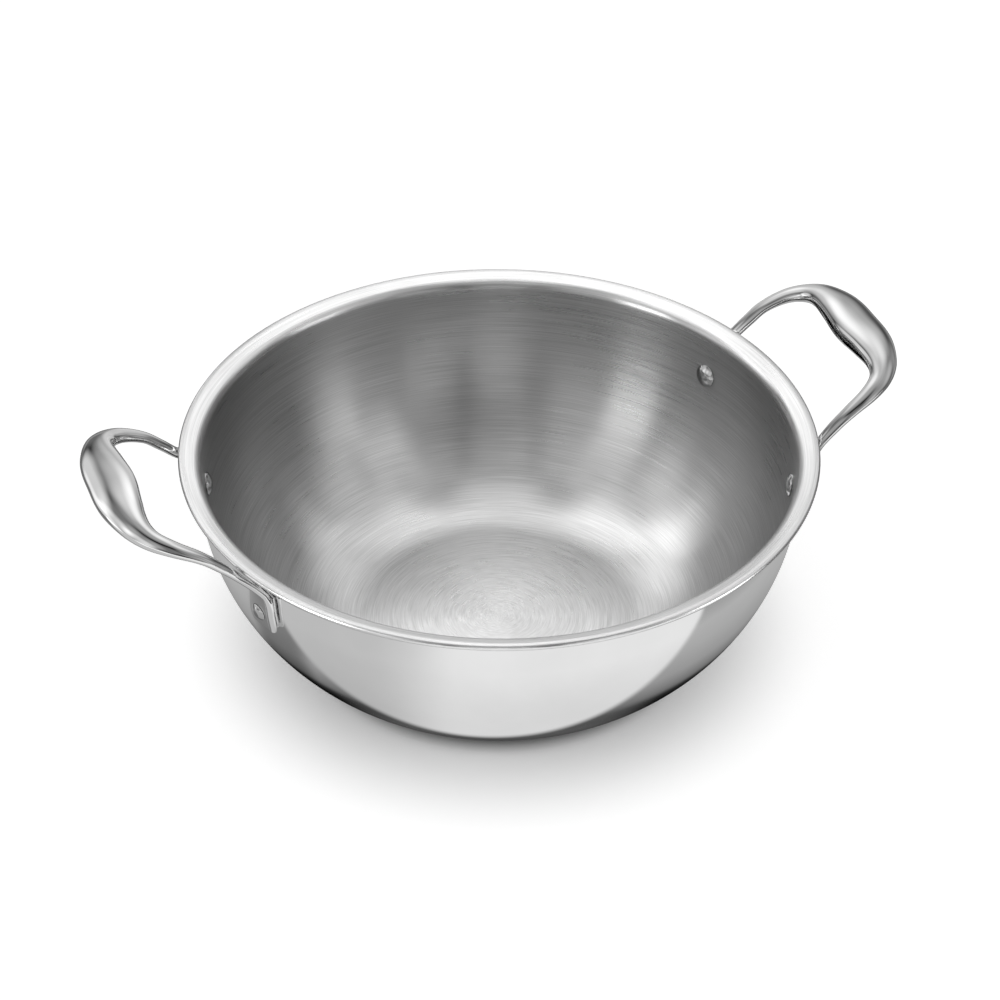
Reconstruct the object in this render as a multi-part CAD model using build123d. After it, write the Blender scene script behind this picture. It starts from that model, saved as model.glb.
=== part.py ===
"""A three-ply kadai: a deep round-sided pan with a flared lip and two riveted loop handles.

Lengths are millimetres and angles degrees. The origin is the middle of the flat
underside, +Z points up, and the handles lie along +X and -X.
"""
from build123d import *
from math import asin, cos, radians, sin, sqrt, tan
import os

# Pan: overall sizes
rim_radius = 145.0
bowl_height = 105.5
flat_radius = 63.0

# Pan: the three bonded layers, from the cooking side out
inner_ply = 0.5
core_ply = 1.6
outer_ply = 0.5

# Pan: how the side curves, and the pouring lip
base_turn = 43.0
upright_length = 5.0
flare_under_radius = 2.0
lip_width = 6.0
lip_slope = 14.6
lip_edge_round = 0.8

# Rivets
rivet_pitch = 96.0
rivet_height = 80.0
shank_radius = 3.0
head_radius = 5.5
head_rise = 2.4
head_edge = 0.5
tail_radius = 4.2
tail_rise = 1.5
tail_flat_share = 0.45

# Handle: the run of its middle line
grip_reach = 178.2
grip_height = 126.4
arm_spread = 93.6
grip_tilt = 5.6

# Handle: its folded sheet section
handle_gauge = 1.0
grip_width = 21.0
grip_depth = 11.6
arm_width = 6.8
arm_depth = 4.2
grip_slot = 4.4
arm_slit = 0.6

# Handle: the foot that is riveted to the side
foot_gauge = 2.0
foot_inner_top = 4.0
foot_inner_bottom = 8.0
foot_inner_rise = 16.0
foot_outer_rise = 12.0
foot_drop = 8.2
foot_corner = 3.5

# Fits
seat_gap = 0.1
shank_clearance = 0.1
cut_overrun = 20.0

# Worked out from the sizes above
wall = inner_ply + core_ply + outer_ply
flare_top_radius = flare_under_radius + wall
slope = radians(lip_slope)
turn = radians(base_turn)
mouth_radius = rim_radius - lip_edge_round - lip_width + wall - flare_top_radius * (1 - sin(slope))
flare_height = bowl_height - flare_top_radius * cos(slope) - lip_width * tan(slope)
turn_height = flare_height - upright_length
side_run = mouth_radius - flat_radius
turn_sum = sin(turn) + cos(turn) - 1
blend_radius = (side_run * cos(turn) - turn_height * (1 - sin(turn))) / turn_sum
side_radius = (turn_height * sin(turn) - side_run * (1 - cos(turn))) / turn_sum


def wall_radius_at(height):
    """Radius of the pan's outer face at a height above its base curve."""
    drop = max(turn_height - height, 0)
    return mouth_radius - side_radius + sqrt(side_radius**2 - drop**2)


def wall_section(depth):
    """Section line of the side, a depth in from the outer face, from the axis out to the lip."""
    base = Line((0, depth), (flat_radius, depth))
    blend = CenterArc((flat_radius, blend_radius), blend_radius - depth, -90, base_turn)
    flare_arc = flare_under_radius + depth
    flare = CenterArc((mouth_radius + flare_under_radius, flare_height), flare_arc, 180, lip_slope - 90)
    lip = Line(flare @ 1, lip_edge_point(depth))
    return [base, blend, *side_lines(depth), flare, lip]


def side_lines(depth):
    """The curved side and the upright stretch above it, a depth in from the outer face."""
    centre = (mouth_radius - side_radius, turn_height)
    side = CenterArc(centre, side_radius - depth, base_turn - 90, 90 - base_turn)
    upright = Line(side @ 1, (mouth_radius - depth, flare_height))
    return [side, upright]


def lip_edge_point(depth):
    """Point on the rounded edge of the lip, a depth in from its underside."""
    off_centre = 2 * depth / wall - 1
    radius = rim_radius - lip_edge_round * off_centre**2
    flare_arc = flare_under_radius + depth
    run = radius - (mouth_radius + flare_under_radius - flare_arc * sin(slope))
    return (radius, flare_height + flare_arc * cos(slope) + run * tan(slope))


def make_ply(outer_depth, inner_depth):
    """One bonded layer of the pan, spun between two depths in from the outer face."""
    outside = wall_section(outer_depth)
    inside = wall_section(inner_depth)
    axis_side = Line(outside[0] @ 0, inside[0] @ 0)
    edge_middle = lip_edge_point((outer_depth + inner_depth) / 2)
    lip_side = ThreePointArc(outside[-1] @ 1, edge_middle, inside[-1] @ 1)
    section = make_face(Plane.XZ * Curve(outside + inside + [axis_side, lip_side]))
    return revolve(section, Axis.Z)


def rivet_plane(side):
    """Frame of a rivet on the outer face of the pan, for the handle on +X; side is 1 or -1."""
    radius = wall_radius_at(rivet_height)
    azimuth = asin(side * rivet_pitch / 2 / radius)
    tilt = asin((rivet_height - turn_height) / side_radius)
    outward = (cos(tilt) * cos(azimuth), cos(tilt) * sin(azimuth), sin(tilt))
    origin = (radius * cos(azimuth), radius * sin(azimuth), rivet_height)
    return Plane(origin=origin, x_dir=(-sin(azimuth), cos(azimuth), 0), z_dir=outward)


def dome_line(low_radius, low, high_radius, high):
    """Arc of a dome that is round about the rivet's axis, from its low edge to its high edge."""
    rise = high - low
    centre = low - (low_radius**2 - high_radius**2 - rise**2) / (2 * rise)
    radius = sqrt(low_radius**2 + (low - centre) ** 2)
    upward = 1 if rise > 0 else -1
    start = asin(low_radius / radius)
    end = asin(high_radius / radius)
    middle = (start + end) / 2
    through = (radius * sin(middle), centre + upward * radius * cos(middle))
    return ThreePointArc((low_radius, low), through, (high_radius, high))


def make_rivet(side):
    """A solid rivet: low dome on the cooking side, shank, and the set head on the foot."""
    dish = head_radius**2 / (2 * (side_radius - wall))
    head_seat = -(wall + dish + seat_gap)
    tail_seat = 2 * seat_gap + foot_gauge
    tail_end = tail_seat + tail_rise
    flat = tail_flat_share * tail_radius
    outline = [
        Line((0, head_seat - head_rise), (0, tail_end)),
        Line((0, tail_end), (flat, tail_end)),
        dome_line(tail_radius, tail_seat, flat, tail_end),
        Line((tail_radius, tail_seat), (shank_radius, tail_seat)),
        Line((shank_radius, tail_seat), (shank_radius, head_seat)),
        Line((shank_radius, head_seat), (head_radius, head_seat)),
        Line((head_radius, head_seat), (head_radius, head_seat - head_edge)),
        dome_line(head_radius, head_seat - head_edge, 0, head_seat - head_rise),
    ]
    rivet = revolve(make_face(Plane.XZ * Curve(outline)), Axis.Z)
    return rivet_plane(side).location * rivet


def rivet_hole(side):
    """The hole that a rivet's shank fills, right through the side and the foot."""
    return rivet_plane(side).location * Cylinder(shank_radius + shank_clearance, 2 * cut_overrun)


# Stations of the handle's middle line, from the end of the foot's border up to
# the middle of the grip. Stations on the wall give their side and height, and
# there the strip is sunk halfway into the foot's plate; the others are free in
# space. side: share of half the arm spread. rise: share of the way from the
# rivets to the grip. reach: share of the way from the mouth to the grip. width
# and depth: shares of the way from the arm's to the grip's. lean: how far the
# strip has turned from lying on the wall to lying flat. slot: share of the way
# from the arm's slit to the grip's slot.
wall_station_shares = [
    # side, rise, width, depth, lean, slot
    (1.209, -0.120, -0.225, -0.255, 0.00, 0.0),
    (1.222, -0.050, -0.140, -0.243, 0.00, 0.0),
    (1.233, 0.100, -0.134, -0.230, 0.00, 0.0),
    (1.238, 0.215, -0.140, -0.210, 0.02, 0.0),
    (1.200, 0.290, -0.155, -0.180, 0.10, 0.0),
]
free_station_shares = [
    # reach, side, rise, width, depth, lean, slot
    (-0.010, 1.030, 0.430, -0.07, -0.08, 0.50, 0.0),
    (0.183, 1.000, 0.590, -0.01, 0.01, 0.80, 0.0),
    (0.380, 0.990, 0.735, 0.04, 0.03, 0.95, 0.0),
    (0.645, 0.932, 0.856, 0.14, 0.22, 1.00, 0.0),
    (0.840, 0.818, 0.922, 0.26, 0.46, 1.00, 0.0),
    (0.955, 0.640, 0.970, 0.50, 0.70, 1.00, 0.25),
    (1.008, 0.340, 0.997, 0.86, 0.94, 1.00, 0.85),
    (1.000, 0.000, 1.000, 1.00, 1.00, 1.00, 1.0),
]

# Pull of the oval section's curve: shares of its half width and half depth.
fold_pull_shares = [(-1.0, 1.6), (2.2, 2.2)]


def between(low, high, share):
    return low + (high - low) * share


def handle_stations():
    """Middle point, lean, width, depth and slot of each station of one half of the handle."""
    stations = []
    for side, rise, width, depth, lean, slot in wall_station_shares:
        across = side * arm_spread / 2
        height = between(rivet_height, grip_height, rise)
        thick = between(arm_depth, grip_depth, depth)
        radius = wall_radius_at(height) + seat_gap + (foot_gauge + thick) / 2
        point = Vector(sqrt(radius**2 - across**2), across, height)
        sizes = (lean, between(arm_width, grip_width, width), thick, between(arm_slit, grip_slot, slot))
        stations.append((point, *sizes))
    for reach, side, rise, width, depth, lean, slot in free_station_shares:
        out = between(mouth_radius, grip_reach, reach)
        point = Vector(out, side * arm_spread / 2, between(rivet_height, grip_height, rise))
        thick = between(arm_depth, grip_depth, depth)
        sizes = (lean, between(arm_width, grip_width, width), thick, between(arm_slit, grip_slot, slot))
        stations.append((point, *sizes))
    return stations


def fold_curve(half_width, half_depth, half_slot):
    """Oval line of the folded section, from the slot's upper lip round to its lower lip."""
    upper = [(-half_width, half_slot)]
    upper += [(half_width * across, half_depth * up) for across, up in fold_pull_shares]
    lower = [(across, -up) for across, up in reversed(upper)]
    return Bezier(*upper, *lower)


def fold_section(plane, width, depth, slot):
    """The C-shaped section of folded sheet, open at the slot on the pan's side."""
    outer = fold_curve(width / 2, depth / 2, slot / 2)
    inner = fold_curve(width / 2 - handle_gauge, depth / 2 - handle_gauge, slot / 2)
    upper_lip = Line(outer @ 0, inner @ 0)
    lower_lip = Line(outer @ 1, inner @ 1)
    return plane * Wire([outer, lower_lip, inner, upper_lip])


def station_planes(stations):
    """Planes square to the middle line, x away from the pan and y to the top of the grip."""
    planes = []
    tilt = radians(grip_tilt)
    for index, (point, lean, *sizes) in enumerate(stations):
        before = stations[max(index - 1, 0)][0]
        after = stations[min(index + 1, len(stations) - 1)][0]
        along = (after - before).normalized()
        if index == len(stations) - 1:
            along = Vector(0, -1, 0)
        towards_pan = Vector(-point.X, -point.Y, 0).normalized()
        top = towards_pan * (1 - lean) + Vector(-sin(tilt), 0, cos(tilt)) * lean
        outward = top.cross(along).normalized()
        planes.append(Plane(origin=point, x_dir=outward, z_dir=along))
    return planes


def make_strip():
    """The folded strip from foot to foot, lofted through its sections."""
    stations = handle_stations()
    planes = station_planes(stations)
    sections = []
    for plane, (point, lean, width, depth, slot) in zip(planes, stations):
        sections.append(fold_section(plane, width, depth, slot))
    for plane, (point, lean, width, depth, slot) in list(zip(planes, stations))[-2::-1]:
        far_origin = Vector(plane.origin.X, -plane.origin.Y, plane.origin.Z)
        far_x = Vector(plane.x_dir.X, -plane.x_dir.Y, plane.x_dir.Z)
        far_z = Vector(-plane.z_dir.X, plane.z_dir.Y, -plane.z_dir.Z)
        far_plane = Plane(origin=far_origin, x_dir=far_x, z_dir=far_z)
        sections.append(fold_section(far_plane, width, depth, slot))
    return Solid.make_loft(sections)


def make_foot(side):
    """The foot's plate: pressed to the curve of the side, with rounded lower corners and its hole."""
    near = side_lines(-seat_gap)
    far = side_lines(-seat_gap - foot_gauge)
    ends = [Line(near[0] @ 0, far[0] @ 0), Line(near[1] @ 1, far[1] @ 1)]
    sheet = revolve(make_face(Plane.XZ * Curve(near + far + ends)), Axis.Z)
    border = (wall_station_shares[1][0] * arm_spread - rivet_pitch) / 2
    corners = [
        (-side * foot_inner_top, foot_inner_rise),
        (-side * foot_inner_bottom, -foot_drop),
        (side * border, -foot_drop),
        (side * border, foot_outer_rise),
    ]
    outline = make_face(Polyline(corners, close=True))
    lower = outline.vertices().sort_by(Axis.Y)[:2]
    outline = fillet(lower, foot_corner)
    blank = extrude(rivet_plane(side) * outline, cut_overrun / 2, both=True)
    return (sheet & blank) - rivet_hole(side)


def make_handle():
    """One loop handle on +X: the folded strip and its two riveted feet."""
    return make_strip() + make_foot(-1) + make_foot(1)


half_turn = Rot(0, 0, 180)
holes = [rivet_hole(side) for side in (-1, 1)]
holes += [half_turn * hole for hole in holes]

parts = {
    "outer_ply": make_ply(0, outer_ply) - holes,
    "core_ply": make_ply(outer_ply, outer_ply + core_ply) - holes,
    "inner_ply": make_ply(outer_ply + core_ply, wall) - holes,
    "handle_right": make_handle(),
    "rivet_right_front": make_rivet(-1),
    "rivet_right_rear": make_rivet(1),
}
parts["handle_left"] = half_turn * parts["handle_right"]
parts["rivet_left_front"] = half_turn * parts["rivet_right_rear"]
parts["rivet_left_rear"] = half_turn * parts["rivet_right_front"]

os.makedirs("parts", exist_ok=True)
for name, shape in parts.items():
    export_step(shape, f"parts/{name}.step")
    print(name, "solids", len(shape.solids()), "volume", round(shape.volume))
print("mouth", round(mouth_radius, 2), "turn height", round(turn_height, 2))
print("blend radius", round(blend_radius, 2), "side radius", round(side_radius, 2))
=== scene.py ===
# %% [markdown]
# A riveted three-ply kadai, dressed for its portrait.
# The construction model comes in first as a fixed frame. It already has every
# piece at its real size, so this script only gives each piece its smooth surface
# and its finish. Nothing that is built here may move or outgrow that frame.

# %% Load the frame
from math import asin, atan2, cos, pi, radians, sin, sqrt, tan

import bmesh
import bpy
from mathutils import Euler, Matrix, Vector


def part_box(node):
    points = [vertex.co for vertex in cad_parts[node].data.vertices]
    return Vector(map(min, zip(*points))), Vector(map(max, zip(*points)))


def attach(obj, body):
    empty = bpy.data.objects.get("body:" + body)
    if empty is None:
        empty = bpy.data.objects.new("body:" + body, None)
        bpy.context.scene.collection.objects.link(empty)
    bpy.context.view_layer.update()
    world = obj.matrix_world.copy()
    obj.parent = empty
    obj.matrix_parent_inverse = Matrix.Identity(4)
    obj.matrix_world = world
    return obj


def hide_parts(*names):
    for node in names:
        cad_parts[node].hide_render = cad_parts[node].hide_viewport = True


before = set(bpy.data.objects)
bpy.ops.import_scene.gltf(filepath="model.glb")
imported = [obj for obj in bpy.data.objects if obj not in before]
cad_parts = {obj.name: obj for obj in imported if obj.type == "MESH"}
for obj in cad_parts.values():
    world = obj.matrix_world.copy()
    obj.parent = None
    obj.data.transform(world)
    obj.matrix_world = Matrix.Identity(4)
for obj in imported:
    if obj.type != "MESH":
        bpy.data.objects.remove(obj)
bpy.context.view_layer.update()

mm = 0.001
rim_low, rim_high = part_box("core_ply")

# %% [markdown]
# The camera stands in front of the pan, a little to its left, and looks down
# into it from a bit more than a third of the way up. A long lens keeps the rim
# an even ellipse. The three small trims are what is left of the aim: the pan
# sits slightly above the middle of the picture and leans by half a degree.

# %% Set up the camera
sensor = 36.0 * mm
lens = 96.79 * mm
camera_distance = 1.218
camera_turn = radians(21.09)
camera_rise = radians(35.94)
aim_down = radians(1.281)
aim_left = radians(0.023)
aim_roll = radians(0.415)
rim_middle = Vector((0, 0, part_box("inner_ply")[1][2]))

camera_data = bpy.data.cameras.new("portrait_camera")
camera_data.lens = lens / mm
camera_data.sensor_width = sensor / mm
camera = bpy.data.objects.new("portrait_camera", camera_data)
bpy.context.scene.collection.objects.link(camera)
stand_back = Vector((
    -cos(camera_rise) * sin(camera_turn),
    -cos(camera_rise) * cos(camera_turn),
    sin(camera_rise),
))
aim = Euler((pi / 2 - camera_rise, 0, -camera_turn)).to_matrix()
aim = aim @ Matrix.Rotation(-aim_left, 3, "Y") @ Matrix.Rotation(-aim_down, 3, "X")
aim = aim @ Matrix.Rotation(aim_roll, 3, "Z")
camera.matrix_world = Matrix.Translation(rim_middle + camera_distance * stand_back) @ aim.to_4x4()
bpy.context.scene.camera = camera
print("camera at", [round(v, 3) for v in camera.matrix_world.translation])

# %% [markdown]
# The pan is spun from one disc of bonded sheet: steel for looks outside, an
# aluminium core that spreads the heat, steel again for the cooking side. Its
# section is a flat base, a tight arc into a wide one, a short upright stretch,
# and a lip that turns out over a small bend. Those arcs are written as sizes
# here, and the heights and radii that the frame knows are read from it.

# %% Sizes of the pan
rim_radius = rim_high[0]
bowl_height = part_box("inner_ply")[1][2]
outer_ply = rim_low[2]
core_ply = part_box("inner_ply")[0][2] - outer_ply
inner_ply = 0.5 * mm
wall = outer_ply + core_ply + inner_ply
flat_radius = 63.0 * mm
base_turn = radians(43.0)
upright_length = 5.0 * mm
flare_under_radius = 2.0 * mm
lip_width = 6.0 * mm
lip_slope = radians(14.6)
lip_edge_round = 0.8 * mm

flare_top_radius = flare_under_radius + wall
flare_run = flare_top_radius * (1 - sin(lip_slope))
mouth_radius = rim_radius - lip_edge_round - lip_width + wall - flare_run
flare_height = bowl_height - flare_top_radius * cos(lip_slope) - lip_width * tan(lip_slope)
turn_height = flare_height - upright_length
side_run = mouth_radius - flat_radius
turn_sum = sin(base_turn) + cos(base_turn) - 1
blend_radius = (side_run * cos(base_turn) - turn_height * (1 - sin(base_turn))) / turn_sum
side_radius = (turn_height * sin(base_turn) - side_run * (1 - cos(base_turn))) / turn_sum
for name, radius in {"mouth": mouth_radius, "blend": blend_radius, "side": side_radius}.items():
    print(name, "radius", round(radius / mm, 2), "mm")

# %% [markdown]
# The same section line serves every layer: it is asked for at a depth in from
# the outer face, and gives rings from the base out to the lip. Arcs are walked
# in equal steps, so the polished outside has no flat bands in its reflections.

# %% The section of the pan
blend_steps, side_steps, flare_steps = 22, 30, 10


def arc_rings(centre, radius, start, turned, steps):
    """Rings (radius, height) along an arc of the section, its start left out."""
    rings = []
    for step in range(1, steps + 1):
        angle = start + turned * step / steps
        rings.append((centre[0] + radius * cos(angle), centre[1] + radius * sin(angle)))
    return rings


def lip_edge_ring(depth):
    """Ring on the rounded edge of the lip, a depth in from its underside."""
    radius = rim_radius - lip_edge_round * (2 * depth / wall - 1) ** 2
    flare_arc = flare_under_radius + depth
    run = radius - (mouth_radius + flare_under_radius - flare_arc * sin(lip_slope))
    return (radius, flare_height + flare_arc * cos(lip_slope) + run * tan(lip_slope))


def section_rings(depth):
    """Rings of the section from the rim of the flat base to the lip, a depth in."""
    rings = [(flat_radius, depth)]
    blend_centre = (flat_radius, blend_radius)
    rings += arc_rings(blend_centre, blend_radius - depth, -pi / 2, base_turn, blend_steps)
    side_centre = (mouth_radius - side_radius, turn_height)
    rings += arc_rings(
        side_centre, side_radius - depth, base_turn - pi / 2, pi / 2 - base_turn, side_steps
    )
    rings += [(mouth_radius - depth, turn_height + upright_length * share) for share in (0.5, 1.0)]
    flare_centre = (mouth_radius + flare_under_radius, flare_height)
    rings += arc_rings(
        flare_centre, flare_under_radius + depth, pi, lip_slope - pi / 2, flare_steps
    )
    edge = lip_edge_ring(depth)
    middle = ((rings[-1][0] + edge[0]) / 2, (rings[-1][1] + edge[1]) / 2)
    return rings + [middle, edge]


def wall_radius_at(height):
    """Radius of the pan's outer face at a height above its base curve."""
    drop = max(turn_height - height, 0)
    return mouth_radius - side_radius + sqrt(side_radius**2 - drop**2)


print("rings on the outer face:", len(section_rings(0)))

# %% [markdown]
# Spinning is what shapes the real pan, and a modeller's way to the same form is
# to draw a circle out ring by ring. Each layer starts as a disc on its
# underside, is extruded and resized up the outside, over the edge and down the
# inside, and is closed at the middle. The layers touch, as bonded sheet does.


# %% A helper that draws a disc out ring by ring
def start_piece():
    """Leave nothing selected, so that the next operator acts on one piece only."""
    if bpy.context.object and bpy.context.object.mode != "OBJECT":
        bpy.ops.object.mode_set(mode="OBJECT")
    bpy.ops.object.select_all(action="DESELECT")


def name_piece(name):
    """Name the active object and its mesh."""
    piece = bpy.context.object
    piece.name = name
    piece.data.name = name
    return piece


def face_outward():
    """Turn every face of the piece being edited outward, and leave edit mode."""
    bpy.ops.mesh.select_all(action="SELECT")
    bpy.ops.mesh.normals_make_consistent(inside=False)
    bpy.ops.object.mode_set(mode="OBJECT")


def draw_out(rings, segments):
    """A closed piece of revolution about Z, through (radius, height) rings."""
    start_piece()
    radius, height = rings[0]
    bpy.ops.mesh.primitive_circle_add(
        vertices=segments, radius=radius, fill_type="TRIFAN", location=(0, 0, height)
    )
    bpy.ops.object.transform_apply(location=True, rotation=True, scale=True)
    bpy.ops.object.mode_set(mode="EDIT")
    bpy.ops.mesh.select_mode(type="EDGE")
    bpy.ops.mesh.select_all(action="SELECT")
    bpy.ops.mesh.region_to_loop()
    for next_radius, next_height in rings[1:]:
        rise = next_height - height
        bpy.ops.mesh.extrude_edges_move(TRANSFORM_OT_translate={"value": (0, 0, rise)})
        factor = next_radius / radius
        bpy.ops.transform.resize(value=(factor, factor, 1), center_override=(0, 0, next_height))
        radius, height = next_radius, next_height
    bpy.ops.mesh.extrude_edges_move()
    bpy.ops.mesh.merge(type="CENTER")
    face_outward()
    return bpy.context.object


print("ready to draw out pieces of revolution")

# %% [markdown]
# The three layers now differ only in the two depths they lie between. The edge
# of the lip is turned round after bonding, so its rounding runs across all three.

# %% Spin the three layers
layer_segments = 288
smooth_up_to = radians(50)
lip_edge_shares = (0.25, 0.5, 0.75)


def between(low, high, share):
    """The value a share of the way from low to high."""
    return low + (high - low) * share


def spin_layer(name, outer_depth, inner_depth):
    """One bonded layer, between two depths in from the pan's outer face."""
    outside = section_rings(outer_depth)
    inside = section_rings(inner_depth)
    edge = [lip_edge_ring(between(outer_depth, inner_depth, share)) for share in lip_edge_shares]
    draw_out(outside + edge + inside[::-1], layer_segments)
    bpy.ops.object.shade_smooth_by_angle(angle=smooth_up_to)
    return name_piece(name)


outer_skin = spin_layer("outer_skin", 0, outer_ply)
core_layer = spin_layer("core_layer", outer_ply, outer_ply + core_ply)
cooking_skin = spin_layer("cooking_skin", outer_ply + core_ply, wall)
for layer in (outer_skin, core_layer, cooking_skin):
    print(layer.name, "faces", len(layer.data.polygons))

# %% [markdown]
# Each handle is one strip of sheet, folded lengthwise into a hollow C whose slot
# faces the pan. Along the arms the fold is nearly closed and lies on edge; in
# the grip it opens out, turns flat and swells to fill the hand. The run is given
# by a few listed stations, from the end of the foot up to the middle of the
# grip, and a smooth curve is drawn through them.

# %% Sizes of the handles
rivet_pitch = 96.0 * mm
rivet_height = 80.0 * mm
grip_reach = 178.2 * mm
grip_height = 126.4 * mm
arm_spread = 93.6 * mm
grip_tilt = radians(5.6)
handle_gauge = 1.0 * mm
grip_width = 21.0 * mm
grip_depth = 11.6 * mm
arm_width = 6.8 * mm
arm_depth = 4.2 * mm
grip_slot = 4.4 * mm
arm_slit = 0.6 * mm
foot_gauge = 2.0 * mm
seat_gap = 0.1 * mm
print("the grips reach", round(grip_reach / mm, 1), "mm from the middle of the pan")

# %% [markdown]
# A station is written in shares, so the handle keeps its character when a size
# above changes: 0 is what the arm has at the rivets, and 1 is the middle of the
# grip. The first stations lie on the pan's side, the others stand free of it.

# %% Stations along a handle
wall_station_shares = [
    # side, rise, width, depth, lean, slot
    (1.209, -0.120, -0.225, -0.255, 0.00, 0.0),
    (1.222, -0.050, -0.140, -0.243, 0.00, 0.0),
    (1.233, 0.100, -0.134, -0.230, 0.00, 0.0),
    (1.238, 0.215, -0.140, -0.210, 0.02, 0.0),
    (1.200, 0.290, -0.155, -0.180, 0.10, 0.0),
]
free_station_shares = [
    # reach, side, rise, width, depth, lean, slot
    (-0.010, 1.030, 0.430, -0.07, -0.08, 0.50, 0.0),
    (0.183, 1.000, 0.590, -0.01, 0.01, 0.80, 0.0),
    (0.380, 0.990, 0.735, 0.04, 0.03, 0.95, 0.0),
    (0.645, 0.932, 0.856, 0.14, 0.22, 1.00, 0.0),
    (0.840, 0.818, 0.922, 0.26, 0.46, 1.00, 0.0),
    (0.955, 0.640, 0.970, 0.50, 0.70, 1.00, 0.25),
    (1.008, 0.340, 0.997, 0.86, 0.94, 1.00, 0.85),
    (1.000, 0.000, 1.000, 1.00, 1.00, 1.00, 1.0),
]


def section_sizes(width, depth, slot):
    """Real width, depth and slot of the folded section, from their shares."""
    return (
        between(arm_width, grip_width, width),
        between(arm_depth, grip_depth, depth),
        between(arm_slit, grip_slot, slot),
    )


def half_stations():
    """Rows of x, y, z, lean, width, depth and slot for one half of the handle."""
    rows = []
    for side, rise, width, depth, lean, slot in wall_station_shares:
        across = side * arm_spread / 2
        height = between(rivet_height, grip_height, rise)
        wide, thick, open_slot = section_sizes(width, depth, slot)
        radius = wall_radius_at(height) + seat_gap + (foot_gauge + thick) / 2
        away = sqrt(radius**2 - across**2)
        rows.append((away, across, height, lean, wide, thick, open_slot))
    for reach, side, rise, width, depth, lean, slot in free_station_shares:
        across = side * arm_spread / 2
        height = between(rivet_height, grip_height, rise)
        away = between(mouth_radius, grip_reach, reach)
        rows.append((away, across, height, lean, *section_sizes(width, depth, slot)))
    return rows


def whole_stations():
    """The same rows from one foot over the grip to the other foot, on the handle at +X."""
    half = half_stations()
    far_half = [(row[0], -row[1], *row[2:]) for row in half[-2::-1]]
    return half + far_half


stations = whole_stations()
print("stations along a handle:", len(stations))

# %% [markdown]
# Between stations every value eases along a cubic curve that matches the
# slope on both sides, which is how a bent strip behaves. At any point of
# the run the section is one oval curve, open at the slot, drawn twice: once for
# the outside and once a sheet's thickness further in.

# %% The smooth run and its folded section
# pull of the two handles of the fold's curve, in half widths and half depths
fold_pull_shares = [(-1.0, 1.6), (2.2, 2.2)]


def station_knots():
    """Distance along the run at which each station lies."""
    knots = [0.0]
    for before, after in zip(stations, stations[1:]):
        knots.append(knots[-1] + (Vector(after[:3]) - Vector(before[:3])).length)
    return knots


def slope_at(index, column, knots):
    """Slope of one value at a station, from its neighbours."""
    low, high = max(index - 1, 0), min(index + 1, len(stations) - 1)
    return (stations[high][column] - stations[low][column]) / (knots[high] - knots[low])


def run_at(distance, knots):
    """All the station values at a distance along the run."""
    index = max(i for i, knot in enumerate(knots[:-1]) if knot <= distance)
    gap = knots[index + 1] - knots[index]
    t = (distance - knots[index]) / gap
    values = []
    for column in range(len(stations[0])):
        start, end = stations[index][column], stations[index + 1][column]
        rise_out = slope_at(index, column, knots) * gap
        rise_in = slope_at(index + 1, column, knots) * gap
        cubic = (2 * t**3 - 3 * t**2 + 1) * start + (t**3 - 2 * t**2 + t) * rise_out
        values.append(cubic + (3 * t**2 - 2 * t**3) * end + (t**3 - t**2) * rise_in)
    return values


def fold_point(half_width, half_depth, half_slot, t):
    """Point of the oval fold: t is 0 at the slot's upper lip and 1 at its lower lip."""
    upper = [(-half_width, half_slot)]
    upper += [(half_width * a, half_depth * b) for a, b in fold_pull_shares]
    points = upper + [(across, -up) for across, up in reversed(upper)]
    while len(points) > 1:
        pairs = zip(points, points[1:])
        points = [(between(a[0], b[0], t), between(a[1], b[1], t)) for a, b in pairs]
    return points[0]


knots = station_knots()
print("length of a handle strip:", round(knots[-1] / mm, 1), "mm")

# %% [markdown]
# The strip starts as a flat blank, a grid with one row of faces for each step
# along the run and one column for each step round the section. Every point of
# the blank is then pressed to its place on the curves above, which closes it
# into a tube of folded sheet. The long edges meet along a seam that is merged,
# and the two ends inside the feet are capped.

# %% The strip's section, step by step
run_steps = 132
fold_steps = 30
lip_steps = 2
round_steps = 2 * (fold_steps + lip_steps)


def section_point(step, width, depth, slot):
    """Point of the closed C section after so many of its steps."""
    outer = (width / 2, depth / 2, slot / 2)
    inner = (width / 2 - handle_gauge, depth / 2 - handle_gauge, slot / 2)
    if step <= fold_steps:
        return fold_point(*outer, step / fold_steps)
    step -= fold_steps
    if step <= lip_steps:
        ends = fold_point(*outer, 1), fold_point(*inner, 1)
        return [between(a, b, step / lip_steps) for a, b in zip(*ends)]
    step -= lip_steps
    if step <= fold_steps:
        return fold_point(*inner, 1 - step / fold_steps)
    step -= fold_steps
    ends = fold_point(*inner, 0), fold_point(*outer, 0)
    return [between(a, b, step / lip_steps) for a, b in zip(*ends)]


print("steps round the section:", round_steps)


# %% Press a blank into the folded strip
seam_reach = 0.001 * mm


def strip_axes(distance):
    """Middle point, outward and upward directions of the strip, and its section sizes."""
    x, y, z, lean, width, depth, slot = run_at(distance, knots)
    step = knots[-1] / run_steps / 2
    before = Vector(run_at(max(distance - step, 0), knots)[:3])
    after = Vector(run_at(min(distance + step, knots[-1]), knots)[:3])
    along = (after - before).normalized()
    towards_pan = Vector((-x, -y, 0)).normalized()
    top = towards_pan * (1 - lean) + Vector((-sin(grip_tilt), 0, cos(grip_tilt))) * lean
    outward = top.cross(along).normalized()
    return Vector((x, y, z)), outward, along.cross(outward).normalized(), width, depth, slot


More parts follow.
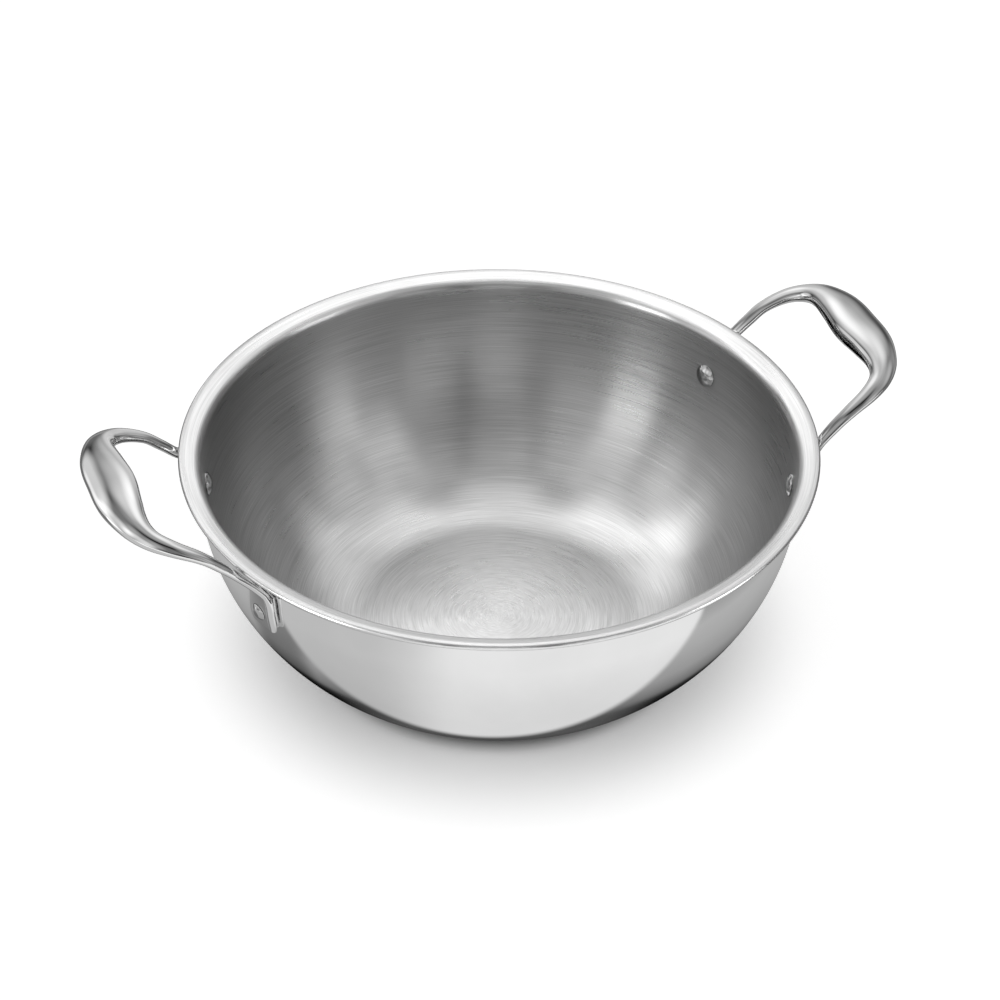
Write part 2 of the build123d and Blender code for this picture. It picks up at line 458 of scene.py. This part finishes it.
def press_strip(name):
    """The folded strip of the handle at +X, as a closed mesh."""
    start_piece()
    bpy.ops.mesh.primitive_grid_add(x_subdivisions=run_steps, y_subdivisions=round_steps, size=1)
    blank = bpy.context.object
    bpy.ops.object.mode_set(mode="EDIT")
    mesh = bmesh.from_edit_mesh(blank.data)
    rows = {}
    for vert in mesh.verts:
        rows.setdefault(round((vert.co.x + 0.5) * run_steps), []).append(vert)
    for row, verts in rows.items():
        middle, outward, up, *section = strip_axes(knots[-1] * row / run_steps)
        for vert in verts:
            across, rise = section_point(round((vert.co.y + 0.5) * round_steps), *section)
            vert.co = middle + outward * across + up * rise
    bmesh.update_edit_mesh(blank.data)
    bpy.ops.mesh.select_all(action="SELECT")
    bpy.ops.mesh.remove_doubles(threshold=seam_reach)
    bpy.ops.mesh.select_all(action="DESELECT")
    bpy.ops.mesh.select_mode(type="EDGE")
    bpy.ops.mesh.select_non_manifold()
    bpy.ops.mesh.edge_face_add()
    face_outward()
    bpy.ops.object.shade_smooth_by_angle(angle=smooth_up_to)
    return name_piece(name)


strip_right = press_strip("handle_strip_right")
print(strip_right.name, "faces", len(strip_right.data.polygons))

# %% [markdown]
# Under each end of the strip lies a pressed plate, the foot, which takes the
# rivet. It is a flat blank too, wider at the bottom than at the top, bent to
# the round of the pan, and then given its thickness and a soft edge.

# %% Sizes of the feet, and places on the pan's side
shank_radius = 3.0 * mm
foot_inner_top = 4.0 * mm
foot_inner_bottom = 8.0 * mm
foot_inner_rise = 16.0 * mm
foot_outer_rise = 12.0 * mm
foot_drop = 8.2 * mm
foot_edge = 0.45 * mm
foot_edge_segments = 3
foot_corner_share = 0.35
foot_corner_pinch = 0.30
foot_cells = 24


def rivet_place(side):
    """Frame of a rivet on the pan's outer face at +X: origin, around, up and outward."""
    radius = wall_radius_at(rivet_height)
    azimuth = asin(side * rivet_pitch / 2 / radius)
    tilt = asin((rivet_height - turn_height) / side_radius)
    outward = Vector((cos(tilt) * cos(azimuth), cos(tilt) * sin(azimuth), sin(tilt)))
    around_pan = Vector((-sin(azimuth), cos(azimuth), 0))
    origin = Vector((radius * cos(azimuth), radius * sin(azimuth), rivet_height))
    return origin, around_pan, outward.cross(around_pan), outward


def onto_wall(point, stand_off):
    """The point moved straight in or out until it stands so far off the pan's side."""
    drop = max(turn_height - point.z, 0)
    centre_radius = mouth_radius - side_radius
    axis_radius = sqrt(point.x**2 + point.y**2)
    away = atan2(drop, axis_radius - centre_radius)
    radius = centre_radius + (side_radius + stand_off) * cos(away)
    height = turn_height - (side_radius + stand_off) * sin(away) if drop else point.z
    return Vector((point.x / axis_radius * radius, point.y / axis_radius * radius, height))


print("rivet at", [round(value / mm, 1) for value in rivet_place(1)[0]], "mm")


# %% Press the feet
def press_foot(name, side):
    """The plate of one foot of the handle at +X, with rounded lower corners."""
    start_piece()
    bpy.ops.mesh.primitive_grid_add(x_subdivisions=foot_cells, y_subdivisions=foot_cells, size=1)
    plate = bpy.context.object
    origin, around_pan, up, outward = rivet_place(side)
    border = (wall_station_shares[1][0] * arm_spread - rivet_pitch) / 2
    bpy.ops.object.mode_set(mode="EDIT")
    mesh = bmesh.from_edit_mesh(plate.data)
    for vert in mesh.verts:
        across_share, up_share = vert.co.x + 0.5, vert.co.y + 0.5
        corner = max(0.0, foot_corner_share - up_share) / foot_corner_share
        pinch = 1 - foot_corner_pinch * corner**3
        inner = -between(foot_inner_bottom, foot_inner_top, up_share)
        across = between(inner, border, between(0.5, across_share, pinch))
        top = between(foot_inner_rise, foot_outer_rise, across_share)
        level = between(-foot_drop, top, up_share)
        vert.co = onto_wall(origin + around_pan * side * across + up * level, seat_gap)
    bmesh.update_edit_mesh(plate.data)
    face_outward()
    facing_out = plate.data.polygons[0].normal.dot(outward) > 0
    thick = plate.modifiers.new("thick", "SOLIDIFY")
    thick.thickness = foot_gauge
    thick.offset = 1 if facing_out else -1
    edge = plate.modifiers.new("edge", "BEVEL")
    edge.width = foot_edge
    edge.segments = foot_edge_segments
    edge.limit_method = "ANGLE"
    edge.angle_limit = smooth_up_to
    bpy.ops.object.modifier_apply(modifier="thick")
    bpy.ops.object.modifier_apply(modifier="edge")
    bpy.ops.object.mode_set(mode="EDIT")
    face_outward()
    bpy.ops.object.shade_smooth_by_angle(angle=smooth_up_to)
    return name_piece(name)


foot_right_front = press_foot("foot_right_front", -1)
foot_right_rear = press_foot("foot_right_rear", 1)
print("feet:", foot_right_front.name, foot_right_rear.name)

# %% [markdown]
# Four rivets hold the handles. Inside, each shows a broad low dome on a thin
# straight edge; outside, the shank is hammered down into a smaller head with a
# flat top. A rivet is drawn out along its own axis and then turned into its hole.

# %% Rivets
head_radius = 5.5 * mm
head_rise = 2.4 * mm
head_edge = 0.5 * mm
tail_radius = 4.2 * mm
tail_rise = 1.5 * mm
tail_flat_share = 0.45
dome_top_share = 0.02
dome_steps = 12
rivet_segments = 64
rivet_smooth_up_to = radians(35)


def dome_rings(low_radius, low, high_radius, high):
    """Rings over a round dome from its low edge to its high edge, the first left out."""
    rise = high - low
    centre = low - (low_radius**2 - high_radius**2 - rise**2) / (2 * rise)
    radius = sqrt(low_radius**2 + (low - centre) ** 2)
    upward = 1 if rise > 0 else -1
    start, end = asin(low_radius / radius), asin(high_radius / radius)
    rings = []
    for step in range(1, dome_steps + 1):
        angle = between(start, end, step / dome_steps)
        rings.append((radius * sin(angle), centre + upward * radius * cos(angle)))
    return rings


def make_rivet(name, side, turned):
    """One rivet at +X or, half a turn on, at -X."""
    dish = head_radius**2 / (2 * (side_radius - wall))
    head_seat = -(wall + dish + seat_gap)
    tail_seat = 2 * seat_gap + foot_gauge
    top_radius = dome_top_share * head_radius
    head = dome_rings(head_radius, head_seat - head_edge, top_radius, head_seat - head_rise)
    rings = head[::-1] + [(head_radius, head_seat - head_edge), (head_radius, head_seat)]
    rings += [(shank_radius, head_seat), (shank_radius, tail_seat), (tail_radius, tail_seat)]
    flat = tail_flat_share * tail_radius
    rings += dome_rings(tail_radius, tail_seat, flat, tail_seat + tail_rise)
    rings.append((flat / 2, tail_seat + tail_rise))
    rivet = draw_out(rings, rivet_segments)
    origin, around_pan, up, outward = rivet_place(side)
    axes = Matrix((around_pan, up, outward)).transposed().to_4x4()
    half_turn = Matrix.Rotation(pi if turned else 0, 4, "Z")
    rivet.matrix_world = half_turn @ Matrix.Translation(origin) @ axes
    bpy.ops.object.transform_apply(location=True, rotation=True, scale=True)
    bpy.ops.object.shade_smooth_by_angle(angle=rivet_smooth_up_to)
    return name_piece(name)


rivets = {
    "rivet_right_front": make_rivet("set_rivet_right_front", -1, False),
    "rivet_right_rear": make_rivet("set_rivet_right_rear", 1, False),
    "rivet_left_front": make_rivet("set_rivet_left_front", 1, True),
    "rivet_left_rear": make_rivet("set_rivet_left_rear", -1, True),
}
print("rivets:", len(rivets))

# %% [markdown]
# Both handles come off the same press, so the left one is a copy of the right
# one with its own mesh, turned half a turn about the pan's axis.


# %% Copy the right handle half a turn round the pan
def half_turn_copy(piece, name):
    """A copy with its own mesh, turned half a turn about the pan's axis."""
    copy = piece.copy()
    copy.data = piece.data.copy()
    bpy.context.scene.collection.objects.link(copy)
    copy.data.transform(Matrix.Rotation(pi, 4, "Z"))
    copy.name = name
    copy.data.name = name
    return copy


strip_left = half_turn_copy(strip_right, "handle_strip_left")
foot_left_rear = half_turn_copy(foot_right_front, "foot_left_rear")
foot_left_front = half_turn_copy(foot_right_rear, "foot_left_front")
print("copied:", strip_left.name, foot_left_rear.name, foot_left_front.name)

# %% [markdown]
# Two effects are shared by the metals. Turning marks are fine rings cut by the
# finishing wheel, each only a few centimetres long. Handling marks are the soft
# cloudy patches that any wiped metal has. Both are node groups that give out
# plain values, so that each finish can use them as strongly as it needs.


# %% Helpers for shared effects
def new_group(name, inputs, outputs):
    """An empty shader group with named number inputs and outputs."""
    group = bpy.data.node_groups.new(name, "ShaderNodeTree")
    for socket, value in inputs.items():
        added = group.interface.new_socket(socket, in_out="INPUT", socket_type="NodeSocketFloat")
        added.default_value = value
    for socket in outputs:
        group.interface.new_socket(socket, in_out="OUTPUT", socket_type="NodeSocketFloat")
    return group, group.nodes.new("NodeGroupInput"), group.nodes.new("NodeGroupOutput")


def math_node(tree, operation, first, second=0.0):
    """A Math node fed by sockets or plain numbers; gives its output socket."""
    node = tree.nodes.new("ShaderNodeMath")
    node.operation = operation
    for socket, value in zip(node.inputs, (first, second)):
        if isinstance(value, (int, float)):
            socket.default_value = value
        else:
            tree.links.new(value, socket)
    return node.outputs[0]


def map_range_node(tree, value, given, wanted, interpolation="LINEAR"):
    """Map a value from one range onto another; gives the output socket."""
    node = tree.nodes.new("ShaderNodeMapRange")
    node.interpolation_type = interpolation
    numbers = (*given, *wanted)
    for socket, number in zip(("From Min", "From Max", "To Min", "To Max"), numbers):
        node.inputs[socket].default_value = number
    tree.links.new(value, node.inputs["Value"])
    return node.outputs["Result"]


def grey_node(tree, level):
    """A grey colour of that level; gives the output socket."""
    node = tree.nodes.new("ShaderNodeCombineColor")
    for socket in node.inputs[:3]:
        tree.links.new(level, socket)
    return node.outputs["Color"]


print("node helpers ready")

# %% Shared effects
smallest_radius = 0.5 * mm
mark_noise_roughness = 0.6
cloud_detail = 4.0
# output: (share of the rings, detail of the noise)
mark_outputs = {"Lines": (1.0, 3.0), "Bands": (0.25, 2.0)}


def build_turning_marks():
    """Fine rings about Z whose lines are short arcs; coordinates are the piece's own."""
    defaults = {"Rings": 1500.0, "Shortness": 9.0}
    group, given, result = new_group("turning_marks", defaults, mark_outputs)
    place = group.nodes.new("ShaderNodeTexCoord")
    parts = group.nodes.new("ShaderNodeSeparateXYZ")
    group.links.new(place.outputs["Object"], parts.inputs[0])
    x, y, z = parts.outputs
    x_squared, y_squared = (math_node(group, "MULTIPLY", side, side) for side in (x, y))
    radius = math_node(group, "SQRT", math_node(group, "ADD", x_squared, y_squared))
    safe = math_node(group, "MAXIMUM", radius, smallest_radius)
    along = math_node(group, "ADD", radius, z)
    turned = [math_node(group, "DIVIDE", side, safe) for side in (x, y)]
    turned = [math_node(group, "MULTIPLY", side, given.outputs["Shortness"]) for side in turned]
    for output, (ring_share, detail) in mark_outputs.items():
        across = math_node(group, "MULTIPLY", along, given.outputs["Rings"])
        across = math_node(group, "MULTIPLY", across, ring_share)
        joined = group.nodes.new("ShaderNodeCombineXYZ")
        for socket, value in zip(joined.inputs, (*turned, across)):
            group.links.new(value, socket)
        noise = group.nodes.new("ShaderNodeTexNoise")
        noise.inputs["Scale"].default_value = 1.0
        noise.inputs["Detail"].default_value = detail
        noise.inputs["Roughness"].default_value = mark_noise_roughness
        group.links.new(joined.outputs[0], noise.inputs["Vector"])
        group.links.new(noise.outputs["Fac"], result.inputs[output])
    return group


def build_handling_marks():
    """Soft cloudy patches over a piece, in its own coordinates."""
    group, given, result = new_group("handling_marks", {"Size": 30.0}, ["Patches"])
    place = group.nodes.new("ShaderNodeTexCoord")
    noise = group.nodes.new("ShaderNodeTexNoise")
    noise.inputs["Detail"].default_value = cloud_detail
    group.links.new(place.outputs["Object"], noise.inputs["Vector"])
    group.links.new(given.outputs["Size"], noise.inputs["Scale"])
    group.links.new(noise.outputs["Fac"], result.inputs["Patches"])
    return group


turning_marks = build_turning_marks()
handling_marks = build_handling_marks()
print("shared effects:", turning_marks.name, handling_marks.name)

# %% [markdown]
# Every finish of a pan is metal with a roughness and a grey that wander a little.
# Noise stays mostly between 0.3 and 0.7, so that range is stretched onto the two
# ends that each finish asks for.

# %% Helpers for the finishes
noise_range = (0.3, 0.7)


def new_metal(name, colour, roughness):
    """A material whose Principled shader is plain metal of that colour."""
    material = bpy.data.materials.new(name)
    material.use_nodes = True
    shader = material.node_tree.nodes["Principled BSDF"]
    shader.inputs["Metallic"].default_value = 1.0
    shader.inputs["Base Color"].default_value = (*colour, 1)
    shader.inputs["Roughness"].default_value = roughness
    return material, shader


def add_effect(material, group, **values):
    """Place a shared effect in a material with its own values."""
    node = material.node_tree.nodes.new("ShaderNodeGroup")
    node.node_tree = group
    for socket, value in values.items():
        node.inputs[socket].default_value = value
    return node


def spread(material, value, low, high):
    """Map a noise value onto low to high."""
    return map_range_node(material.node_tree, value, noise_range, (low, high))


def tint(material, value, dark, light):
    """Grey between two levels, driven by a noise value."""
    return grey_node(material.node_tree, spread(material, value, dark, light))


def feed(material, shader, roughness, colour):
    """Link a roughness and a colour to the shader."""
    material.node_tree.links.new(roughness, shader.inputs["Roughness"])
    material.node_tree.links.new(colour, shader.inputs["Base Color"])


def emboss(material, shader, height, depth):
    """Feed a height to the shader's normal, standing up by so many metres."""
    bump = material.node_tree.nodes.new("ShaderNodeBump")
    bump.inputs["Strength"].default_value = 1.0
    bump.inputs["Distance"].default_value = depth
    material.node_tree.links.new(height, bump.inputs["Height"])
    material.node_tree.links.new(bump.outputs["Normal"], shader.inputs["Normal"])


print("finish helpers ready")

# %% [markdown]
# The outside and the handles are buffed to a mirror. A mirror still has a finish:
# the wheel leaves a trace of rings, and hands leave faint clouds, so roughness
# varies a little and the colour almost not at all.

# %% Mirror-polished steel
mirror_steel, mirror_shader = new_metal("mirror_steel", colour=(0.86, 0.86, 0.87), roughness=0.06)
clouds = add_effect(mirror_steel, handling_marks, Size=22.0)
trace = add_effect(mirror_steel, turning_marks, Rings=1200.0, Shortness=5.0)
from_clouds = spread(mirror_steel, clouds.outputs["Patches"], low=0.03, high=0.08)
from_trace = spread(mirror_steel, trace.outputs["Lines"], low=0.0, high=0.03)
rough = math_node(mirror_steel.node_tree, "ADD", from_clouds, from_trace)
grey = tint(mirror_steel, clouds.outputs["Patches"], dark=0.82, light=0.88)
feed(mirror_steel, mirror_shader, rough, grey)
emboss(mirror_steel, mirror_shader, trace.outputs["Bands"], depth=0.004 * mm)
feet = (foot_right_front, foot_right_rear, foot_left_front, foot_left_rear)
for piece in (outer_skin, strip_right, strip_left, *feet):
    piece.data.materials.append(mirror_steel)
print(mirror_steel.name)

# %% [markdown]
# The cooking side is brushed while the pan turns, so its grain runs round in
# rings. Such a grain throws light across itself, into fans that point at the
# middle of the pan: that is what the shader's anisotropy does, with its tangent
# turned round the pan's axis.

# %% Brushed steel of the cooking side
brushed_steel, brushed_shader = new_metal("brushed_steel", colour=(0.62, 0.62, 0.62), roughness=0.3)
brushed_shader.inputs["Anisotropic"].default_value = 0.85
brushed_shader.inputs["Anisotropic Rotation"].default_value = 0.25
grain = brushed_steel.node_tree.nodes.new("ShaderNodeTangent")
grain.direction_type = "RADIAL"
grain.axis = "Z"
brushed_steel.node_tree.links.new(grain.outputs[0], brushed_shader.inputs["Tangent"])
marks = add_effect(brushed_steel, turning_marks, Rings=2400.0, Shortness=3.0)
clouds = add_effect(brushed_steel, handling_marks, Size=14.0)
from_marks = spread(brushed_steel, marks.outputs["Bands"], low=0.27, high=0.31)
from_clouds = spread(brushed_steel, clouds.outputs["Patches"], low=-0.02, high=0.02)
rough = math_node(brushed_steel.node_tree, "ADD", from_marks, from_clouds)
grey = tint(brushed_steel, marks.outputs["Lines"], dark=0.40, light=0.58)
feed(brushed_steel, brushed_shader, rough, grey)
cooking_skin.data.materials.append(brushed_steel)
print(brushed_steel.name)

# %% [markdown]
# The lip is cut after the layers are bonded, so its edge shows a line of bare
# aluminium, dulled by the cutting tool in very fine rings. The rivets are too
# small for the wheel: they come out of the tumbler, a little uneven and satin.

# %% Bare aluminium of the core, and satin rivets
bare_aluminium, bare_shader = new_metal(
    "bare_aluminium", colour=(0.83, 0.83, 0.84), roughness=0.22
)
edge_marks = add_effect(bare_aluminium, turning_marks, Rings=4000.0, Shortness=20.0)
rough = spread(bare_aluminium, edge_marks.outputs["Lines"], low=0.15, high=0.3)
grey = tint(bare_aluminium, edge_marks.outputs["Bands"], dark=0.78, light=0.86)
feed(bare_aluminium, bare_shader, rough, grey)
core_layer.data.materials.append(bare_aluminium)

rivet_steel, rivet_shader = new_metal("rivet_steel", colour=(0.6, 0.6, 0.61), roughness=0.2)
clouds = add_effect(rivet_steel, handling_marks, Size=260.0)
rough = spread(rivet_steel, clouds.outputs["Patches"], low=0.06, high=0.14)
grey = tint(rivet_steel, clouds.outputs["Patches"], dark=0.5, light=0.66)
feed(rivet_steel, rivet_shader, rough, grey)
emboss(rivet_steel, rivet_shader, clouds.outputs["Patches"], depth=0.02 * mm)
for rivet in rivets.values():
    rivet.data.materials.append(rivet_steel)
print(bare_aluminium.name, rivet_steel.name)

# %% [markdown]
# Polished metal has no looks of its own: it shows what stands round it, so the
# studio is part of the finish. The photograph looks like a white tent, lit from
# outside in patches. The same tent stands here as a dome that only reflections
# can see, dark but for soft glowing patches. A patch is placed by two angles:
# how far round it hangs as the camera sees it (0 behind the pan, 90 to its
# right, 180 at the camera) and how high.

# %% Places in the studio
tent_radius = 0.6


def studio_place(right, back, up):
    """A place in the studio as the camera sees it: to its right, away from it, and up."""
    x = right * cos(camera_turn) + back * sin(camera_turn)
    y = back * cos(camera_turn) - right * sin(camera_turn)
    return Vector((x, y, up))


def studio_direction(around, above):
    """The unit direction at an angle round the studio and an angle above the table."""
    turn, rise = radians(around), radians(above)
    return studio_place(sin(turn) * cos(rise), cos(turn) * cos(rise), sin(rise))


def vector_node(tree, operation, first, second=None):
    """A Vector Math node fed by a socket and a socket or fixed vector."""
    node = tree.nodes.new("ShaderNodeVectorMath")
    node.operation = operation
    tree.links.new(first, node.inputs[0])
    if second is not None:
        node.inputs[1].default_value = second
    return node


def soft_patch(tree, facing, direction, full, gone, level):
    """A round patch: level up to full degrees off a direction, nothing past gone degrees."""
    nearness = vector_node(tree, "DOT_PRODUCT", facing, direction).outputs["Value"]
    fade = (cos(radians(gone)), cos(radians(full)))
    return map_range_node(tree, nearness, fade, (0.0, level), "SMOOTHSTEP")


print("one step behind the pan is", [round(c, 2) for c in studio_place(0, 1, 0)])

# %% [markdown]
# The dome only adds light to what passes through it, so it hides neither the
# lamps outside nor the table. Each row of patches hangs at one height.

# %% The light tent
tent_segments, tent_rings = 64, 32
# height: (degrees fully lit, degrees where it ends, {angle round: level})
tent_patches = {
    8: (10, 24, {-150: 0.3, -90: 0.5, -30: 0.15, 0: 0.4, 30: 0.1, 60: 0.15, 120: 0.15}),
    27: (10, 26, {
        -165: 0.05, -135: 0.5, -105: 0.5, -72: 0.7, -5: 0.25, 75: 0.12, 105: 0.08, 135: 0.25,
    }),
    47: (12, 30, {
        -180: 0.15, -140: 0.25, -100: 0.2, -20: 0.35, 20: 0.4, 60: 0.15, 100: 0.25, 140: 0.05,
    }),
    68: (14, 36, {0: 0.4}),
}
start_piece()
bpy.ops.mesh.primitive_uv_sphere_add(
    segments=tent_segments, ring_count=tent_rings, radius=tent_radius
)
tent = name_piece("studio_tent")
tent_cloth = bpy.data.materials.new("tent_cloth")
tent_cloth.use_nodes = True
tent_cloth.cycles.emission_sampling = "NONE"
cloth = tent_cloth.node_tree
cloth.nodes.remove(cloth.nodes["Principled BSDF"])
glow_shader = cloth.nodes.new("ShaderNodeEmission")
see_through = cloth.nodes.new("ShaderNodeBsdfTransparent")
thin_cloth = cloth.nodes.new("ShaderNodeAddShader")
cloth.links.new(glow_shader.outputs[0], thin_cloth.inputs[0])
cloth.links.new(see_through.outputs[0], thin_cloth.inputs[1])
cloth.links.new(thin_cloth.outputs[0], cloth.nodes["Material Output"].inputs["Surface"])
spot = cloth.nodes.new("ShaderNodeTexCoord")
facing = vector_node(cloth, "NORMALIZE", spot.outputs["Object"]).outputs["Vector"]
glow = 0.0
for above, (full, gone, levels) in tent_patches.items():
    for around, level in levels.items():
        patch = soft_patch(cloth, facing, studio_direction(around, above), full, gone, level)
        glow = math_node(cloth, "ADD", patch, glow)
cloth.links.new(glow, glow_shader.inputs["Strength"])
tent.data.materials.append(tent_cloth)
tent.visible_camera = tent.visible_diffuse = tent.visible_shadow = False
print("patches in the tent:", sum(len(levels) for _, _, levels in tent_patches.values()))

# %% [markdown]
# The pan stands on a white table. The camera sees white paint that catches the
# shadow, with a little glow that lifts the open table to paper white. Close to
# the pan the paint is darker and the glow is left out: painted shadow on top of
# the real one.

# %% The table
table_size = 6.0
# metres from the pan's middle where each glow starts and is full, and its level; left out close to
# the pan, the glow paints the edge of its shadow
table_glow_near = (0.084, 0.097, 0.27)
table_glow_far = (0.095, 0.155, 0.34)
# painted shadow under the pan: where the paint starts to lighten and is full, and its levels below
# and beyond
painted_shadow_steps = (0.08, 0.1, 0.3, 0.9)
paint_roughness = 0.9
start_piece()
bpy.ops.mesh.primitive_plane_add(size=table_size, location=(0, 0, 0))
table = name_piece("studio_table")
table_paint = bpy.data.materials.new("table_paint")
table_paint.use_nodes = True
paint = table_paint.node_tree
spot = paint.nodes.new("ShaderNodeTexCoord")
distance = vector_node(paint, "LENGTH", spot.outputs["Object"]).outputs["Value"]
facing = vector_node(paint, "NORMALIZE", spot.outputs["Object"]).outputs["Vector"]
ray = paint.nodes.new("ShaderNodeLightPath")


def by_distance(starts, ends, low, high):
    """Rise softly from low to high between two distances from the pan's middle."""
    return map_range_node(paint, distance, (starts, ends), (low, high), "SMOOTHSTEP")


paint_shader = paint.nodes["Principled BSDF"]
paint_shader.inputs["Roughness"].default_value = paint_roughness
paint_shader.inputs["Emission Color"].default_value = (1, 1, 1, 1)
# the paint is darker close to the pan: painted shadow
grey = grey_node(paint, by_distance(*painted_shadow_steps))
paint.links.new(grey, paint_shader.inputs["Base Color"])
near, far = (
    by_distance(starts, ends, 0.0, level)
    for starts, ends, level in (table_glow_near, table_glow_far)
)
# the glow lifts the open table to white, and its soft start near the pan is painted shadow
lift = math_node(paint, "ADD", near, far)
seen_lift = math_node(paint, "MULTIPLY", lift, ray.outputs["Is Camera Ray"])
paint.links.new(seen_lift, paint_shader.inputs["Emission Strength"])
print("table paint ready")

# %% [markdown]
# The metal sees the table as the photograph's metal shows it: dark under the pan,
# in greys to the sides, and bright in front of a straight line. Only reflections
# see this glow. Its darkness under the pan and below the left handle is painted
# shadow.

# %% The table as the metal sees it
# metres from the pan's middle: level. The rings and the shade are painted shadow close to the pan.
ring_levels = {
    0.106: 0.005, 0.113: 0.03, 0.12: 0.18, 0.14: 0.35, 0.17: 0.45, 0.2: 0.5, 0.26: 0.3, 0.4: 0.15,
}
shade_levels = {0.06: 0.04, 0.085: 0.05, 0.1: 0.09, 0.112: 0.08, 0.12: 0.0}
front_levels = {0.1: 0.75, 0.14: 0.8, 0.2: 0.9, 0.3: 0.92}
front_line, front_line_slope, front_line_blur = 0.1, 0.085, 0.005


def levels_by_distance(levels):
    """Read a grey level off a short list of distances from the pan's middle."""
    ramp = paint.nodes.new("ShaderNodeValToRGB")
    stops = ramp.color_ramp.elements
    stops.remove(stops[0])
    for away, level in levels.items():
        stops.new(away / tent_radius).color = (level, level, level, 1)
    stops[-1].color = (level, level, level, 1)
    paint.links.new(math_node(paint, "DIVIDE", distance, tent_radius), ramp.inputs["Fac"])
    return ramp.outputs["Color"]


def table_patch(around, full, gone, level):
    """A change of level that spreads over the table in one direction from the pan."""
    return soft_patch(paint, facing, studio_direction(around, 0), full, gone, level)


def times(first, second):
    """The product of two values of the table."""
    return math_node(paint, "MULTIPLY", first, second)


forward = studio_place(-front_line_slope, -1, 0)
ahead = vector_node(paint, "DOT_PRODUCT", spot.outputs["Object"], forward).outputs["Value"]
line_edges = (front_line - front_line_blur, front_line + front_line_blur)
in_front = map_range_node(paint, ahead, line_edges, (0.0, 1.0), "SMOOTHSTEP")
behind = math_node(paint, "SUBTRACT", 1.0, in_front)
# painted shade below the left handle, and a darker stretch to the left front
painted_shade_below_left_handle = table_patch(around=-115, full=4, gone=14, level=-0.5)
left_front = table_patch(around=-125, full=15, gone=45, level=-0.35)
towards_camera = table_patch(around=180, full=20, gone=50, level=1.0)
# the rings and the shade are the painted shadow that reflections see near the pan
ring = times(levels_by_distance(ring_levels), math_node(paint, "ADD", painted_shade_below_left_handle, 1.0))
shade = times(levels_by_distance(shade_levels), towards_camera)
front = times(levels_by_distance(front_levels), math_node(paint, "ADD", left_front, 1.0))
near_pan = math_node(paint, "ADD", ring, shade)
shown = math_node(paint, "ADD", times(near_pan, behind), times(front, in_front))
mirror_view = paint.nodes.new("ShaderNodeEmission")
paint.links.new(shown, mirror_view.inputs["Strength"])
choice = paint.nodes.new("ShaderNodeMixShader")
paint.links.new(ray.outputs["Is Glossy Ray"], choice.inputs["Fac"])
paint.links.new(paint_shader.outputs["BSDF"], choice.inputs[1])
paint.links.new(mirror_view.outputs["Emission"], choice.inputs[2])
paint.links.new(choice.outputs["Shader"], paint.nodes["Material Output"].inputs["Surface"])
table_paint.cycles.emission_sampling = "NONE"
table.data.materials.append(table_paint)
print("table ready, bright in front of a line", front_line, "m from the middle")

# %% [markdown]
# The room round the tent is plain white paper. The camera sees it as it is, it
# lights the table softly, and polished metal doesn't see it at all.

# %% Room light
room_light = 0.55
room = bpy.data.worlds.new("studio_room")
bpy.context.scene.world = room
room.use_nodes = True
room.cycles.sampling_method = "NONE"
room_nodes = room.node_tree
background = room_nodes.nodes["Background"]
background.inputs["Color"].default_value = (1, 1, 1, 1)
ray = room_nodes.nodes.new("ShaderNodeLightPath")
level = math_node(room_nodes, "MULTIPLY", ray.outputs["Is Diffuse Ray"], room_light)
level = math_node(room_nodes, "MAXIMUM", ray.outputs["Is Camera Ray"], level)
room_nodes.links.new(level, background.inputs["Strength"])
bpy.context.scene.view_settings.view_transform = "Standard"
print("room ready")

# %% [markdown]
# Small lamps outside the tent light the brushed inside, whose grain spreads each
# of them into a fan down the wall. They leave the table to the room light.

# %% Lamps
lamp_distance = 1.3
lamp_size = 0.45
# height: {angle round: watts}
lamp_rows = {
    9: {-122: 2.4, 107: 0.9},
    15: {-180: 0.5, -122: 1.6, 105: 1.2, 150: 0.4},
    38: {-120: 0.4, -90: 0.3, -60: 1.6, -30: 1.0, 0: 0.8, 30: 0.5, 60: 0.6, 90: 0.4, 120: 0.6},
    60: {-180: 0.5, -135: 0.5, -90: 0.5, -45: 1.3, 0: 1.1, 45: 0.5, 90: 0.4, 135: 0.5},
    88: {0: 0.8},
}
pan_inside = bpy.data.collections.new("pan_inside")
for piece in (cooking_skin, core_layer):
    pan_inside.objects.link(piece)


def add_lamp(name, place, watts):
    """A square lamp facing the pan's middle, which lights only the inside and the lip."""
    lamp_data = bpy.data.lights.new(name, "AREA")
    lamp_data.shape = "SQUARE"
    lamp_data.size = lamp_size
    lamp_data.energy = watts
    lamp = bpy.data.objects.new(name, lamp_data)
    bpy.context.scene.collection.objects.link(lamp)
    facing = (Vector((0, 0, bowl_height / 2)) - place).to_track_quat("-Z", "Y")
    lamp.matrix_world = Matrix.Translation(place) @ facing.to_matrix().to_4x4()
    lamp.light_linking.receiver_collection = pan_inside
    lamp.visible_camera = False
    return lamp


for above, row in lamp_rows.items():
    for around, watts in row.items():
        add_lamp(f"lamp_{above}_{around}", lamp_distance * studio_direction(around, above), watts)
print("lamps:", sum(len(row) for row in lamp_rows.values()))

# %% [markdown]
# Last, every piece is hung on the one body of the pan, and the construction
# node that it stands for is hidden.

# %% Tie the pieces to the frame
stands_for = {
    "outer_ply": ([outer_skin], "polished_steel"),
    "core_ply": ([core_layer], "aluminium_core"),
    "inner_ply": ([cooking_skin], "brushed_steel"),
    "handle_right": ([strip_right, foot_right_front, foot_right_rear], "polished_steel"),
    "handle_left": ([strip_left, foot_left_front, foot_left_rear], "polished_steel"),
}
for node, rivet in rivets.items():
    stands_for[node] = ([rivet], "rivet_steel")
for node, (pieces, slot) in stands_for.items():
    for piece in pieces:
        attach(piece, "root")
        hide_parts(node)
print("pieces on the pan:", sum(len(pieces) for pieces, _ in stands_for.values()))
